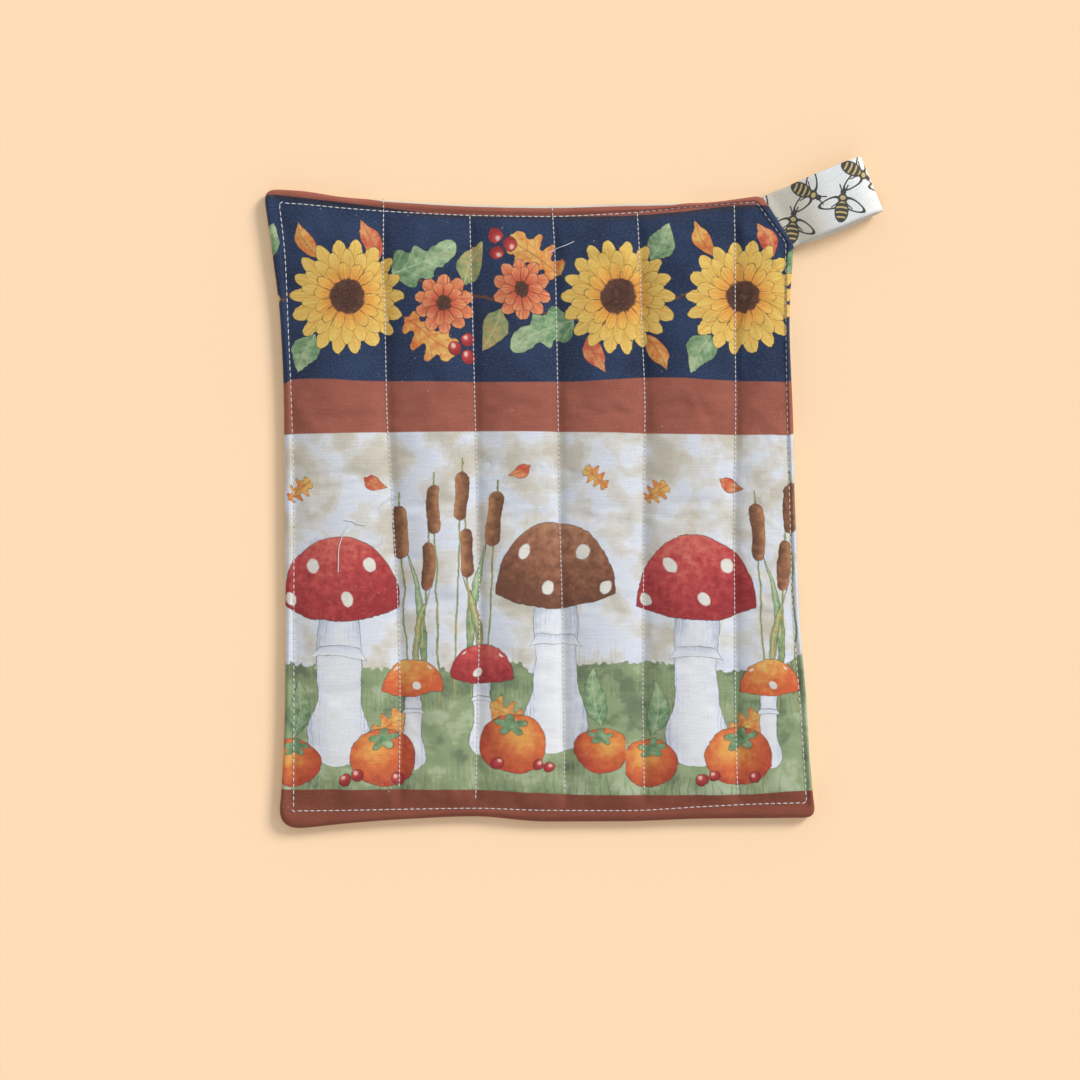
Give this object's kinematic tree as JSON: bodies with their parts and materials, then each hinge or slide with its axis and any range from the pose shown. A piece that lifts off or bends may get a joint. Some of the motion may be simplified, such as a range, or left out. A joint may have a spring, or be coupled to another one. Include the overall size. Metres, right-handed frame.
{
  "type": "quilted pot holder",
  "caption": "Flat quilted cotton pad with upright sewn channels, a rolled and stitched rim, and a folded ribbon loop at its clipped corner.",
  "frame": {"origin": "middle of the pad, on the flat underside that it rests on", "axes": "+X across the sewn channels, +Y up the pad towards the edge with the loop, +Z out of the printed front"},
  "size_m": [0.238, 0.2583, 0.009],
  "materials": {
    "printed_cotton": "plain weave quilting cotton, printed in navy, rust, cream and green, matt",
    "backing_cotton": "plain weave off-white cotton, matt",
    "ribbon_weave": "fine ribbed cream ribbon with a printed repeat, soft sheen"
  },
  "bodies": {
    "root": {"front_panel": "printed_cotton", "back_panel": "backing_cotton", "hanging_loop": "ribbon_weave"}
  },
  "joints": []
}
